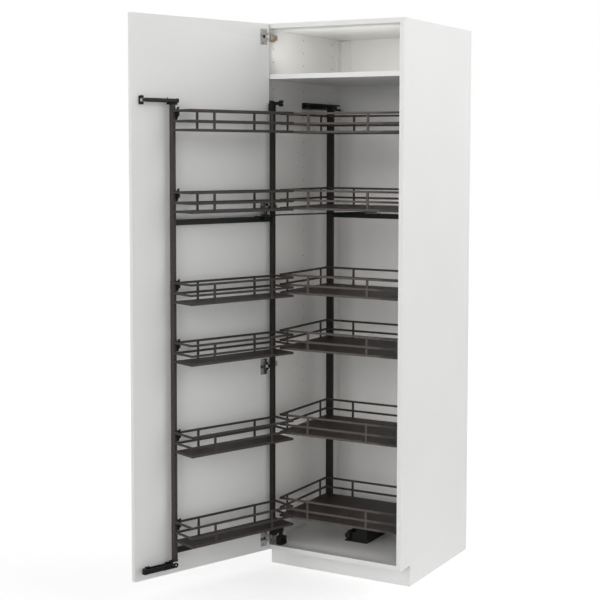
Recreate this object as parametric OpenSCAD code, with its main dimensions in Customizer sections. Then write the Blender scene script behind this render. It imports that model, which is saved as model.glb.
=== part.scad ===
// Tall larder cabinet with a full-height door, a rack of slim trays that turns with the door, and a deeper
// rack of trays that slides forward behind it. Shown open, as it stands when someone reaches in.
// X runs to the right along the front, Y to the back and Z up. The origin is on the floor, in the middle
// of the carcass. Each door and door-rack piece is drawn in the door's own frame: X along the door from its
// hinge edge, Y from its inner face towards the trays.

/* [Carcass] */
// Outer width of the carcass
carcass_w = 600; // [600:1:640]
// Outer depth of the carcass, without the door
carcass_d = 600; // [600:1:640]
// Height of the side panels
carcass_h = 2000; // [1990:1:2060]
// Thickness of the panels
board = 18; // [16:0.5:19]
// Thickness of the back panel
back_t = 8; // [6:0.5:10]
// Depth of the grooves that hold the back panel
groove_deep = 6; // [4:0.5:8]
// Distance from the back edge of the side panels to the back panel
back_inset = 4; // [2:0.5:12]
// Height of the top of the fixed shelf above the floor
shelf_top_z = 1892; // [1880:1:1920]
// How far the fixed shelf stands back from the front edges
shelf_inset = 1; // [0:0.5:20]

/* [Plinth] */
// Height of the plinth
plinth_h = 80; // [80:0.5:82]
// How far the plinth's front board stands back from the carcass front
plinth_set_back = 78; // [40:1:120]
// Thickness of the plinth boards
plinth_t = 16; // [12:0.5:19]

/* [Shelf pin holes] */
// Diameter of the shelf pin holes
pin_hole_d = 5; // [4:0.5:6]
// Depth of the shelf pin holes
pin_hole_deep = 12; // [8:0.5:13]
// Distance between two shelf pin holes in a column
pin_pitch = 50; // [32:1:64]
// Height of the lowest shelf pin hole
pin_first_z = 190; // [150:1:220]
// Number of holes in the lower part of each column
pin_count = 34; // [10:1:34]
// Number of holes in the upper compartment
pin_count_top = 3; // [1:1:3]

/* [Door] */
// Width of the door
door_w = 597; // [590:1:640]
// Height of the door
door_h = 1997; // [1980:1:2000]
// Thickness of the door
door_t = 18; // [16:0.5:19]
// Height of the door's lower edge above the floor
door_z = 81.5; // [81:0.5:84]
// Place of the open door's inner hinge edge, from the middle of the carcass
door_edge_x = -259; // [-260:0.1:-258]
// Place of the open door's inner hinge edge, behind the carcass front when positive
door_edge_y = -306.5; // [-307:0.1:-306]
// Angle through which the door is open
open_angle = 110.5; // [110:0.1:111]

/* [Concealed hinges] */
// Heights of the four hinges, lowest first
hinge_zs = [128, 791, 1393, 2030];
// Diameter of the hole for a hinge cup
cup_hole_d = 35.2; // [35:0.1:35.4]
// Depth of the hole for a hinge cup
cup_hole_deep = 12.8; // [12.6:0.1:13.4]
// Distance from the door's hinge edge to the middle of the cup
cup_s = 24; // [23.5:0.1:24.5]
// Diameter of the hinge cup
cup_d = 35; // [34.6:0.1:35]
// Depth of the hinge cup
cup_deep = 12.6; // [12.4:0.1:12.6]
// Place of the cup's pin along the door
cup_pin_s = 12; // [11.8:0.1:12.2]
// Depth of the cup's pin below the door's inner face
cup_pin_deep = 4; // [3.8:0.1:4.2]
// Place of the arm's pin, from the middle of the carcass
arm_pin_x = -268.32; // [-268.5:0.01:-268.1]
// Place of the arm's pin, from the middle of the carcass
arm_pin_y = -294.72; // [-294.9:0.01:-294.5]
// Thickness of the curved link between the pins
link_t = 2.4; // [2:0.1:2.6]
// Height of the curved link
link_h = 10; // [8:0.5:10]

/* [Trays] */
// Heights of the middle of the trays' top rails above the floor, lowest first
tray_zs = [277.5, 601, 925, 1138, 1458.5, 1745];
// Drop from the top rail to the middle rail
mid_drop = 37; // [30:0.5:45]
// Drop from the top rail to the bottom rail
base_drop = 68; // [60:0.5:76]
// Height of a rail
rail_h = 8; // [6:0.5:9]
// Thickness of a rail
rail_t = 5; // [4:0.5:6]
// Width of an upright bar between the rails
bar_w = 8; // [6:0.5:10]
// Thickness of the tray bases
base_t = 6; // [4:0.5:6]
// Width of the lip that a tray base rests on
lip_w = 9; // [7:0.5:14]
// Thickness of the lip that a tray base rests on
lip_t = 2; // [1.5:0.5:2]

/* [Door rack] */
// End of the door trays next to the hinge edge, along the door
dtray_s0 = -5; // [-5:0.5:0]
// Length of the door trays
dtray_len = 453; // [430:1:453]
// Depth of the door trays
dtray_dep = 111; // [95:1:111]
// Distance from the door's inner face to the trays' backs
dtray_d0 = 32; // [32:0.5:34]
// Distance of the upright bars from the ends of a door tray
dtray_bar_in = 100; // [60:1:140]
// Width of the door rack's posts, along the door
dpost_w = 12.5; // [12:0.5:13]
// Depth of the door rack's posts, square to the door
dpost_dep = 23; // [22:0.5:23]
// Place of the front post's far side along the door
front_post_s = 436.5; // [430:0.5:437]
// Place of the rear post's side next to the hinge edge
rear_post_s = -6.5; // [-7:0.5:-6]
// Top of the front post
front_post_top = 1766; // [1764:1:1767]
// Bottom of the front post
front_post_foot = 137; // [136:1:140]
// Top of the rear post
rear_post_top = 1772; // [1768:1:1774]
// Bottom of the rear post, where its foot begins
rear_post_foot = 178; // [176:1:180]
// Lower end of the rear post's foot
lever_foot = 142; // [141:1:144]
// Underside of the foot's eye above the floor
lever_eye_z = 150; // [149:1:152]
// Place of the rack's pivot from the door's hinge edge, along the open door
pivot_s = -40.6; // [-40.8:0.1:-40.4]
// Place of the rack's pivot from the open door's inner face
pivot_d = 20.1; // [20:0.1:20.2]
// Diameter of the pivot pins
pivot_pin_d = 10; // [8:0.5:12]
// Height of the cross bars
cross_h = 20; // [16:1:20]
// Underside of the upper cross bars above the floor
cross_upper_z = 1341; // [1335:1:1342]
// Underside of the lower cross bar above the floor
cross_lower_z = 161; // [158:1:164]

/* [Door guides] */
// Start of the top guide along the door
guide_s0 = 428; // [424:1:432]
// Start of the bottom guide along the door
low_guide_s0 = 437; // [434:1:440]
// End of the guides along the door
guide_s1 = 577; // [570:1:582]
// Distance from the door's inner face to the guides
guide_d0 = 16; // [14:0.5:18]
// Depth of the guides
guide_dep = 16; // [12:0.5:18]
// Underside of the top guide
top_guide_z = 1773; // [1773:0.5:1776]
// Height of the top guide
top_guide_h = 14; // [12:0.5:16]
// Underside of the bottom guide
low_guide_z = 112; // [108:0.5:112]
// Height of the bottom guide
low_guide_h = 18; // [14:0.5:18]

/* [Inner rack] */
// Left side of the inner trays, from the middle of the carcass
itray_x0 = -232; // [-234:1:-230]
// Width of the inner trays
itray_w = 498; // [470:1:500]
// Front of the inner trays when drawn out, from the middle of the carcass
itray_y0 = -276; // [-277:1:-270]
// Depth of the inner trays
itray_dep = 364; // [350:1:364]
// Distance of the front and back upright bars from the ends of a tray
itray_bar_in = 124; // [80:1:160]
// Distance of the side upright bars from the corners of a tray
itray_side_bar_in = 54; // [40:1:90]
// Width of the inner rack's posts
ipost_w = 30; // [26:1:30]
// Depth of the inner rack's posts
ipost_dep = 12; // [10:0.5:12]
// Top of the inner rack's posts
ipost_top = 1784; // [1782:1:1788]
// Bottom of the inner rack's posts
ipost_foot = 132; // [130:1:140]

/* [Runners] */
// Front end of the upper runner, from the middle of the carcass
up_run_y0 = -27; // [-30:1:-25]
// Length of the upper runner
up_run_len = 270; // [266:1:273]
// Underside of the upper runner
up_run_z = 1771; // [1770:0.5:1772]
// Height of the upper runner
up_run_h = 24; // [22:1:26]
// Depth of the upper runner, off the side panel
up_run_dep = 22; // [20:1:22]
// Front end of the lower runner, from the middle of the carcass
low_run_y0 = -116; // [-118:1:-114]
// Length of the lower runner
low_run_len = 400; // [396:1:402]
// Left side of the lower runner's channel, from the middle of the carcass
low_run_x0 = -3; // [-4:1:0]
// Width of the lower runner's channel
low_run_w = 66; // [64:1:68]
// Height of the lower runner's channel
low_run_h = 26; // [22:1:28]

/* [Pull link] */
// Place of the link's end on the open door rack, along the door
link_s = 55; // [54:0.5:56]
// Place of the link's end on the open door rack, from the door's inner face
link_d = 42; // [41:0.5:43]
// Place of the link's pin on the inner rack, from the middle of the carcass
link_x = -20; // [-22:0.5:-18]
// Place of the link's pin behind the inner rack's posts' front faces
link_y_in = 12; // [11:0.5:13]
// Width of the link's bar
pull_w = 8; // [6:0.5:8]
// Diameter of the link's eyes
pull_eye_d = 16; // [14:0.5:16]
// Thickness of the link
pull_t = 5; // [3:0.5:5]
// Diameter of the link's pin
pull_pin_d = 6; // [5:0.5:8]

/* [Hidden] */
$fn = 48;

// Finishes
WHITE = [0.93, 0.93, 0.92];
INNER_WHITE = [0.88, 0.88, 0.87];
FRAME = [0.22, 0.205, 0.2];
BASE = [0.25, 0.225, 0.215];
STEEL = [0.72, 0.72, 0.73];
BLACK = [0.07, 0.07, 0.07];

// Carcass
half_w = carcass_w / 2;
front_y = -carcass_d / 2;
rear_y = carcass_d / 2;
inner_x = half_w - board;
side_top_z = plinth_h + carcass_h;
floor_top_z = plinth_h + board;
back_y1 = rear_y - back_inset;
back_y0 = back_y1 - back_t;
groove_play = 0.1;
pin_inset = 61;
pin_mid_y = -14;
pin_rear_y = 217;
pin_first_top_z = 1940;
bracket_w = 44;
bracket_h = 56;
bracket_t = 2.5;
bracket_gap = 6;
wall_screw_d = 7;
wall_screw_z = side_top_z - 90;

// Hinges
cup_room = 15.5;
cup_room_h = 12.4;
cup_floor = 1.1;
ear_tip_s = 4.5;
ear_s0 = 12;
ear_s1 = 41;
ear_h = 60;
ear_t = 1.4;
cup_pin_d = 2;
cup_pin_l = 18;
arm_pin_d = 4;
link_r0 = 2.4;
link_r1 = 4;
arm_w = 15;
arm_h = 18;
arm_front = 8;
arm_wall = 1.6;
arm_rear_y = -234;
arm_front_y = -287.5;
plate_t = 3;
plate_h = 28;
cheek_t = 2.2;
cheek_gap = 0.4;
cheek_r = 4.8;
play = 0.05;

// Places in the plan view
function on_plan(s, d) = [
    door_edge_x + s * cos(open_angle) + d * sin(open_angle),
    door_edge_y - s * sin(open_angle) + d * cos(open_angle)];
cup_pin_w = on_plan(cup_pin_s, -cup_pin_deep);
pivot_w = on_plan(pivot_s, pivot_d);
link_a = on_plan(link_s, link_d);
link_b = [link_x, itray_y0 + itray_dep + link_y_in];

// Curved links of the hinges, from pin to pin
link_length = norm([cup_pin_w.x - arm_pin_x, cup_pin_w.y - arm_pin_y]);
link_turn = atan2(arm_pin_y - cup_pin_w.y, arm_pin_x - cup_pin_w.x);

// Racks
rear_post_in = rear_post_s + dpost_w;
dpost_d0 = dtray_d0 - dpost_dep;
tube_wall = 1.5;
cross_t = 12;
tube_r = 2;
lever_h = 12;
lever_r = 11;
eye_r = 9;
lug_t = 2.7;
gap = 0.3;
ipost_y = itray_y0 + itray_dep;
itray_x1 = itray_x0 + itray_w;
ipost_left_x = itray_x0 - 3;
ipost_right_x = itray_x1 + 1 - ipost_w;
cross_top_z = cross_upper_z + cross_h;
pull_z = cross_top_z + lug_t + gap;

// Guides
guide_mid = guide_d0 + guide_dep / 2;
spool_s = guide_s1 - 17;
spool_d = 7.4;
spool_h = 32;
spool_r = 7.2;
bead_h = 10;
top_guide_end = spool_s - spool_r;
cap_len = 14;
low_wall = 3;
run_wall = 4;

// Box between two corners
module box(lo, hi) {
    translate(lo) cube(hi - lo);
}

// Round bar standing on a point
module rod(at, d, h) {
    translate(at) cylinder(d = d, h = h);
}

// Round bar along X
module rod_x(at, d, h) {
    translate(at) rotate([0, 90, 0]) cylinder(d = d, h = h);
}

// Points of an arc round a middle
function arc(mid, r, from, to, steps = 6) =
    [for (i = [0 : steps]) let (a = from + (to - from) * i / steps) [mid.x + r * cos(a), mid.y + r * sin(a)]];

// Points of a rectangle with round corners, between two corners
function rounded(lo, hi, r) = concat(
    arc([hi.x - r, hi.y - r], r, 0, 90), arc([lo.x + r, hi.y - r], r, 90, 180),
    arc([lo.x + r, lo.y + r], r, 180, 270), arc([hi.x - r, lo.y + r], r, 270, 360));

// Points of a slot with round ends, lying between two middles
function slotted(a, b, r) = concat(arc(a, r, 90, 270), arc(b, r, -90, 90));

// Outline in X and Y, carried up from one height to another
module upright(z0, z1) {
    translate([0, 0, z0]) linear_extrude(z1 - z0) children();
}

// Outline in Y and Z, carried along X
module along_x(x0, x1) {
    translate([x0, 0, 0]) rotate([90, 0, 90]) linear_extrude(x1 - x0) children();
}

// Outline in X and Z, carried along Y
module along_y(y0, y1) {
    translate([0, y1, 0]) rotate([90, 0, 0]) linear_extrude(y1 - y0) children();
}

// Turned disc with a rounded rim
module bead(r, h) {
    round_r = h / 3;
    rotate_extrude() polygon(concat([[0, 0]], arc([r - round_r, round_r], round_r, -90, 0),
        arc([r - round_r, h - round_r], round_r, 0, 90), [[0, h]]));
}

// Door frame of the open door
module on_door() {
    translate([door_edge_x, door_edge_y, 0]) rotate([0, 0, -open_angle]) children();
}

// ---- Carcass ----

module back_groove() {
    box([-inner_x - groove_deep, back_y0 - groove_play, floor_top_z - groove_deep],
        [inner_x + groove_deep, back_y1 + groove_play, side_top_z - board + groove_deep]);
}

module pin_holes() {
    for (y = [front_y + pin_inset, pin_mid_y, pin_rear_y]) {
        for (i = [0 : pin_count - 1])
            translate([-inner_x - pin_hole_deep, y, pin_first_z + i * pin_pitch])
                rotate([0, 90, 0]) cylinder(d = pin_hole_d, h = pin_hole_deep + 1, $fn = 24);
        for (i = [0 : pin_count_top - 1])
            translate([-inner_x - pin_hole_deep, y, pin_first_top_z + i * pin_pitch])
                rotate([0, 90, 0]) cylinder(d = pin_hole_d, h = pin_hole_deep + 1, $fn = 24);
    }
}

module left_panel() {
    color(WHITE) difference() {
        box([-half_w, front_y, plinth_h], [-inner_x, rear_y, side_top_z]);
        back_groove();
        pin_holes();
    }
}

module right_panel() {
    color(WHITE) mirror([1, 0, 0]) difference() {
        box([-half_w, front_y, plinth_h], [-inner_x, rear_y, side_top_z]);
        back_groove();
        pin_holes();
    }
}

module top_panel() {
    color(WHITE) difference() {
        box([-inner_x, front_y, side_top_z - board], [inner_x, rear_y, side_top_z]);
        back_groove();
    }
}

module floor_panel() {
    color(INNER_WHITE) difference() {
        box([-inner_x, front_y, plinth_h], [inner_x, rear_y, floor_top_z]);
        back_groove();
    }
}

module fixed_shelf() {
    color(INNER_WHITE)
        box([-inner_x, front_y + shelf_inset, shelf_top_z - board], [inner_x, back_y0, shelf_top_z]);
}

module back_panel() {
    color(INNER_WHITE) difference() {
        box([-inner_x - groove_deep + 1, back_y0, floor_top_z - groove_deep + 1],
            [inner_x + groove_deep - 1, back_y1, side_top_z - board + groove_deep - 1]);
        for (side = [-1, 1]) wall_screw_hole(side);
    }
}

module wall_screw_hole(side) {
    translate([side * (inner_x - bracket_gap - bracket_w / 2), rear_y, wall_screw_z])
        rotate([90, 0, 0]) cylinder(d = wall_screw_d, h = 40, $fn = 32);
}

// Angle plates that carry the screws into the wall
module wall_brackets() {
    color(STEEL) for (side = [0, 1]) mirror([side, 0, 0]) difference() {
        upright(wall_screw_z - bracket_h / 2, wall_screw_z + bracket_h / 2) polygon([
            [inner_x, back_y0], [inner_x, back_y0 - bracket_w], [inner_x - bracket_t, back_y0 - bracket_w],
            [inner_x - bracket_t, back_y0 - bracket_gap], [inner_x - bracket_gap, back_y0 - bracket_t],
            [inner_x - bracket_gap - bracket_w, back_y0 - bracket_t],
            [inner_x - bracket_gap - bracket_w, back_y0]]);
        wall_screw_hole(1);
    }
}

// ---- Plinth ----

module plinth_front() {
    color(WHITE) translate([0, front_y + plinth_set_back, 0])
        box([-half_w + plinth_t, 0, 0], [half_w - plinth_t, plinth_t, plinth_h]);
}

module plinth_sides() {
    color(WHITE) for (side = [-1, 1]) translate([side * (half_w - plinth_t / 2), 0, 0])
        box([-plinth_t / 2, front_y + plinth_set_back, 0], [plinth_t / 2, rear_y, plinth_h]);
}

module plinth_back() {
    color(WHITE) translate([0, rear_y - plinth_t, 0])
        box([-half_w + plinth_t, 0, 0], [half_w - plinth_t, plinth_t, plinth_h]);
}

module plinth_bearer() {
    color(WHITE)
        box([-half_w + plinth_t, -plinth_t / 2, 0], [half_w - plinth_t, plinth_t / 2, plinth_h]);
}

// ---- Door and concealed hinges ----

module door_panel() {
    color(WHITE) on_door() difference() {
        box([0, -door_t, door_z], [door_w, 0, door_z + door_h]);
        for (z = hinge_zs) translate([cup_s, 0, z]) rotate([90, 0, 0])
            translate([0, 0, -1]) cylinder(d = cup_hole_d, h = cup_hole_deep + 1);
    }
}

// Flange of a cup: two wings, and two prongs towards the door's hinge edge with the link between them
module cup_flange() {
    r = 3;
    end = ear_h / 2 - r;
    difference() {
        polygon(concat(
            arc([ear_s1 - r, end], r, 0, 90), arc([ear_s0 + r, end], r, 90, 180),
            [[ear_s0, 17], [ear_tip_s, 12], [ear_tip_s, -12], [ear_s0, -17]],
            arc([ear_s0 + r, -end], r, 180, 270), arc([ear_s1 - r, -end], r, 270, 360)));
        translate([0, -cup_room_h / 2]) square([cup_s, cup_room_h]);
    }
}

module hinge_cup() {
    difference() {
        union() {
            translate([cup_s, 0, 0]) rotate([90, 0, 0]) cylinder(d = cup_d, h = cup_deep);
            along_y(0, ear_t) cup_flange();
        }
        box([cup_s - cup_room, -cup_deep + cup_floor, -cup_room_h / 2],
            [cup_s + cup_room + 3, ear_t + 1, cup_room_h / 2]);
        rod([cup_pin_s, -cup_pin_deep, -cup_pin_l / 2], cup_pin_d, cup_pin_l);
    }
    for (side = [-1, 1]) translate([cup_s + 4, ear_t, side * 23]) rotate([-90, 0, 0]) cylinder(d = 8, h = 1.2);
}

module hinge_cups() {
    color(STEEL) on_door() for (z = hinge_zs) translate([0, 0, z]) hinge_cup();
}

module hinge_cup_pins() {
    color(STEEL) on_door() for (z = hinge_zs)
        rod([cup_pin_s, -cup_pin_deep, z - cup_pin_l / 2], cup_pin_d, cup_pin_l);
}

// Square to the stretch from a to b, one unit long
function across(a, b) = [a.y - b.y, b.x - a.x] / norm(b - a);

// Mitred corner of a strip one unit to the left of a path's point
function corner(path, i) =
    i == 0 ? across(path[0], path[1]) :
    i == len(path) - 1 ? across(path[i - 1], path[i]) :
    let (m = across(path[i - 1], path[i]) + across(path[i], path[i + 1])) 2 * m / (m * m);

// Strip of even width along a path
module strip(path, width) {
    last = len(path) - 1;
    polygon([for (i = [0 : last]) path[i] + corner(path, i) * width / 2,
             for (i = [last : -1 : 0]) path[i] - corner(path, i) * width / 2]);
}

// Curved link from the cup's pin, at its origin, to the arm's pin along +X
module hinge_link() {
    bend = [[0, 0], [-1.2, -3.6], [0.9, -7.3], [4.4, -9.6], [8.4, -11.4], [12, -11], [link_length, 0]];
    difference() {
        union() {
            linear_extrude(link_h) strip(bend, link_t);
            rod([0, 0, 0], 2 * link_r0, link_h);
            rod([link_length, 0, 0], 2 * link_r1, link_h);
        }
        rod([0, 0, -1], cup_pin_d + 2 * play, link_h + 2);
        rod([link_length, 0, -1], arm_pin_d + 2 * play, link_h + 2);
    }
}

module hinge_links() {
    color(STEEL) for (z = hinge_zs) translate([cup_pin_w.x, cup_pin_w.y, z - link_h / 2])
        rotate([0, 0, link_turn]) hinge_link();
}

// Pressed channel over a mounting plate, with two cheeks that hold the link's pin
module hinge_arm() {
    z1 = link_h / 2 + cheek_gap;
    x0 = arm_pin_x - arm_w / 2 + 0.5;
    x1 = x0 + arm_w;
    foot_x = -inner_x + plate_t;
    y1 = arm_front_y + arm_front;
    difference() {
        union() {
            along_x(-inner_x, foot_x)
                polygon(rounded([y1 - 4, -plate_h / 2], [arm_rear_y + 5, plate_h / 2], 5));
            upright(-arm_h / 2, arm_h / 2) polygon([
                [foot_x - 1, y1 + 3], [x0, arm_front_y], [x1 - 3, arm_front_y], [x1, arm_front_y + 3],
                [x1, arm_rear_y - 12], [x1 - 9, arm_rear_y], [foot_x - 1, arm_rear_y]]);
            for (side = [-1, 1]) translate([0, 0, side * (z1 + cheek_t / 2) - cheek_t / 2]) {
                rod([arm_pin_x, arm_pin_y, 0], 2 * cheek_r, cheek_t);
                box([arm_pin_x - cheek_r, arm_pin_y, 0], [arm_pin_x + cheek_r, y1, cheek_t]);
            }
        }
        box([foot_x, y1, -arm_h / 2 + arm_wall], [x1 - arm_wall, arm_rear_y + 1, arm_h / 2 - arm_wall]);
        along_x(x1 - arm_wall - 1, x1 + 1) polygon(slotted([y1 + 9.5, 0], [y1 + 16.5, 0], 3.2));
        rod_x([x1 - arm_wall - 1, y1 + 29.5, 0], 5, arm_wall + 2);
        rod([arm_pin_x, arm_pin_y, -z1 - cheek_t - 1], arm_pin_d, 2 * (z1 + cheek_t + 1));
    }
    along_y(arm_rear_y - 26, arm_rear_y + 2)
        polygon([[foot_x - 1, -6], [foot_x + 7, -4], [foot_x + 7, 4], [foot_x - 1, 6]]);
}

module hinge_arms() {
    color(STEEL) for (z = hinge_zs) translate([0, 0, z]) hinge_arm();
}

module hinge_arm_pins() {
    l = link_h + 2 * (cheek_gap + cheek_t);
    color(STEEL) for (z = hinge_zs) rod([arm_pin_x, arm_pin_y, z - l / 2], arm_pin_d, l);
}

// ---- Guides on the door ----

// Rail with a groove in its underside, a cap at its near end and a stop pin
module door_top_guide() {
    z1 = top_guide_z + top_guide_h;
    d1 = guide_d0 + guide_dep;
    color(BLACK) on_door() {
        along_x(guide_s0, top_guide_end) difference() {
            polygon(rounded([guide_d0, top_guide_z], [d1, z1], 3));
            translate([guide_mid - 3.5, top_guide_z - 1]) square([7, 8]);
        }
        along_x(guide_s0 - 5, guide_s0) polygon(rounded([guide_d0 - 1, top_guide_z], [d1 + 1, z1 + 1], 4));
        rod([guide_s0 + 38, guide_mid, z1 - 1], 5, 4);
    }
}

// Stand-off that carries the top guide: a turned spool with a foot on the door and a neck to the guide
module door_top_bracket() {
    mid_z = top_guide_z + top_guide_h / 2;
    z0 = mid_z - spool_h / 2;
    color(BLACK) on_door() {
        along_y(0, 3) polygon(rounded([spool_s - 8, z0 + 1], [spool_s + 8, z0 + spool_h - 1], 4));
        for (z = [z0, z0 + spool_h - bead_h]) translate([spool_s, spool_d, z]) bead(spool_r, bead_h);
        rod([spool_s, spool_d, z0 + bead_h / 2], 2 * spool_r - 5, spool_h - bead_h);
        upright(mid_z - 5.5, mid_z + 5.5) polygon([
            [spool_s, spool_d - 5], [top_guide_end, guide_d0 + 1.5],
            [top_guide_end, guide_d0 + guide_dep - 1.5], [spool_s, spool_d + 5]]);
    }
}

// Trough, open at the top, with a slotted outer wall that ends in a round catch, and feet on the door
module door_low_guide() {
    z1 = low_guide_z + low_guide_h;
    mid_z = low_guide_z + low_guide_h / 2;
    end_r = low_guide_h / 2;
    s1 = guide_s1 - cap_len;
    step_s = low_guide_s0 + 66;
    d0 = guide_d0 - 4;
    d1 = guide_d0 + guide_dep + 4;
    color(BLACK) on_door() {
        difference() {
            union() {
                along_x(low_guide_s0 + end_r, s1) difference() {
                    polygon(rounded([d0, low_guide_z], [d1 - 1, z1], 2));
                    translate([d0 + low_wall, low_guide_z + low_wall]) square([guide_dep + 8, low_guide_h]);
                }
                along_y(d1 - low_wall, d1) polygon(concat(
                    arc([low_guide_s0 + end_r, mid_z], end_r, 90, 270, 12),
                    [[step_s - 4, low_guide_z], [step_s, low_guide_z + 2], [s1, low_guide_z + 2], [s1, z1]]));
            }
            along_y(d1 - low_wall - 1, d1 + 1) {
                for (s = [low_guide_s0 + 22, low_guide_s0 + 44])
                    polygon(slotted([s, mid_z], [s + 11, mid_z], 2.5));
                translate([low_guide_s0 + end_r, mid_z]) circle(d = 6);
            }
        }
        for (s = [low_guide_s0 + 16, s1 - 26]) along_x(s, s + 18) polygon([
            [0, low_guide_z], [d0 + 1, low_guide_z], [d0 + 1, low_guide_z + 5], [4, low_guide_z + 5],
            [3, z1 - 1], [0, z1 - 1]]);
    }
}

module door_low_cap() {
    half = guide_dep / 2 + 4;
    r = 8;
    color(BLACK) on_door() translate([guide_s1 - cap_len, guide_mid, 0])
        upright(low_guide_z, low_guide_z + low_guide_h) polygon(concat(
            [[0, -half]], arc([cap_len - r, r - half], r, -90, 0), arc([cap_len - r, half - r], r, 0, 90),
            [[0, half]]));
}

// ---- Door rack ----

// Square tube with round edges, standing up between two heights
module tube(lo, hi) {
    wall = [tube_wall, tube_wall];
    upright(lo.z, hi.z) difference() {
        polygon(rounded(lo, hi, tube_r));
        polygon(rounded([lo.x, lo.y] + wall, [hi.x, hi.y] - wall, tube_r / 2));
    }
}

module rack_front_post() {
    color(FRAME) on_door() tube([front_post_s, dpost_d0, front_post_foot],
        [front_post_s + dpost_w, dtray_d0, front_post_top]);
}

module rack_rear_post() {
    color(FRAME) on_door() tube([rear_post_s, dpost_d0, rear_post_foot],
        [rear_post_s + dpost_w, dtray_d0, rear_post_top]);
}

module rack_cross_bars() {
    d0 = dpost_d0 + 5;
    color(FRAME) on_door() for (z = [cross_lower_z, cross_upper_z])
        along_x(rear_post_in, front_post_s) polygon(rounded([d0, z], [d0 + cross_t, z + cross_h], tube_r));
}

// Foot of the rear post: its plan narrows to the pivot's eye, and its underside rises towards it
module low_lever() {
    intersection() {
        upright(lever_foot, rear_post_foot) polygon(concat(arc([pivot_s, pivot_d], lever_r, 90, 270), [
            [rear_post_s - 2, dpost_d0], [rear_post_in, dpost_d0], [rear_post_in, dtray_d0],
            [rear_post_s - 2, dtray_d0]]));
        along_y(dpost_d0 - 1, dtray_d0 + 1) polygon([
            [rear_post_in, lever_foot], [rear_post_s - 4, lever_foot], [rear_post_s - 15, lever_eye_z],
            [pivot_s - lever_r, lever_eye_z], [pivot_s - lever_r, rear_post_foot - 9],
            [pivot_s + lever_r, rear_post_foot - 6], [rear_post_s - 4, rear_post_foot],
            [rear_post_in, rear_post_foot]]);
    }
}

// Head of the rear post: a cap over the tube, a bar, and the pivot's eye
module top_lever() {
    z1 = rear_post_top + lever_h;
    upright(rear_post_top, z1) polygon(rounded([rear_post_s, dpost_d0], [rear_post_in, dtray_d0], tube_r));
    along_x(pivot_s, rear_post_s + 2) polygon(rounded([pivot_d - 6, z1 - 7], [pivot_d + 6, z1], 2));
    translate([pivot_s, pivot_d, rear_post_top]) bead(eye_r, lever_h);
}

// Levers that join the rear post to its pivots
module rack_levers() {
    color(BLACK) on_door() difference() {
        union() {
            low_lever();
            top_lever();
        }
        rod([pivot_s, pivot_d, lever_foot], pivot_pin_d + 2 * play, rear_post_top + lever_h);
    }
}

// Pointed plate on the front post that passes under the top guide
module rack_top_shoe() {
    z1 = top_guide_z - gap;
    far_s = front_post_s + 19.5;
    mid = dpost_d0 + dpost_dep / 2;
    color(BLACK) on_door() {
        upright(front_post_top, z1) polygon([
            [far_s, mid - 8], [far_s, mid + 8], [front_post_s - 2, mid + 10], [front_post_s - 13, mid + 3],
            [front_post_s - 13, mid - 3], [front_post_s - 2, mid - 10]]);
        upright(z1 - 2.5, z1) polygon(slotted([far_s - 2, mid], [far_s + 7, mid], 3.5));
        rod([far_s + 7, mid, front_post_top], 7, z1 - front_post_top);
    }
}

// Plate under the front post, with a roller and a stop nub
module rack_low_roller() {
    z0 = low_guide_z + low_guide_h + gap;
    mid = dpost_d0 + dpost_dep / 2;
    plate_z = front_post_foot - 5;
    roller_s = front_post_s + 23;
    color(BLACK) on_door() {
        upright(plate_z, front_post_foot)
            polygon(concat(arc([front_post_s + 3, mid], 9.5, 90, 270), arc([roller_s, mid], 7, -90, 90)));
        rod([roller_s, mid, z0], 11, plate_z - z0 + 1);
        rod([front_post_s - 4, mid, plate_z], 4.5, 11);
    }
}

// Lug on the upper cross bar under the pull link's end, with a rib below it
module rack_link_lug() {
    bar_d1 = dpost_d0 + 5 + cross_t;
    color(BLACK) on_door() {
        upright(cross_top_z, cross_top_z + lug_t) polygon(concat(
            [[20, dpost_d0 + 4], [78, dpost_d0 + 4], [78, bar_d1]], arc([link_s, link_d], 6, 20, 160),
            [[20, bar_d1]]));
        along_x(link_s - 3, link_s + 3)
            polygon([[bar_d1, cross_upper_z + 4], [link_d + 3, cross_top_z], [bar_d1, cross_top_z]]);
    }
}

// Open hooks on the front post that the trays' back rails hang in
module tray_hooks() {
    rail = rail_h / 2;
    d0 = dtray_d0;
    d1 = dtray_d0 + rail_t;
    color(BLACK) on_door() for (z = tray_zs) translate([0, 0, z]) along_x(front_post_s - 7, front_post_s)
        polygon(concat(
            [[dpost_d0 + 8, 6], [dpost_d0 + 8, -25], [dpost_d0 + 12, -32], [d0, -32]],
            arc([d0 + 14, -32], 14, 180, 100),
            [[d1 + 9, -14], [d1 + 9, -3], [d1 + 5, 3], [d1 + 5, 8]],
            arc([d1 + 5.5, 11], 2.5, -45, 135), [[d1, 8], [d1, -rail], [d0, -rail], [d0, 6]]));
}

// ---- Trays ----

// Ring of flat bar, its middle at the given height
module ring(len, dep, z, h, wall) {
    difference() {
        box([0, 0, z - h / 2], [len, dep, z + h / 2]);
        box([wall, wall, z - h / 2 - 1], [len - wall, dep - wall, z + h / 2 + 1]);
    }
}

// Welded tray frame: three rings, upright bars, and a lip under the base
module tray_frame(len, dep, bar_in, side_bar_in) {
    for (drop = [0, mid_drop, base_drop]) ring(len, dep, -drop, rail_h, rail_t);
    ring(len, dep, -base_drop - rail_h / 2 + lip_t / 2, lip_t, lip_w);
    for (x = [bar_in, len - bar_in], y = [0, dep - rail_t])
        box([x - bar_w / 2, y, -base_drop], [x + bar_w / 2, y + rail_t, 0]);
    if (side_bar_in > 0) for (x = [0, len - rail_t], y = [side_bar_in, dep - side_bar_in])
        box([x, y - bar_w / 2, -base_drop], [x + rail_t, y + bar_w / 2, 0]);
}

module tray_base(len, dep) {
    z0 = -base_drop - rail_h / 2 + lip_t;
    box([rail_t, rail_t, z0], [len - rail_t, dep - rail_t, z0 + base_t]);
}

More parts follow.
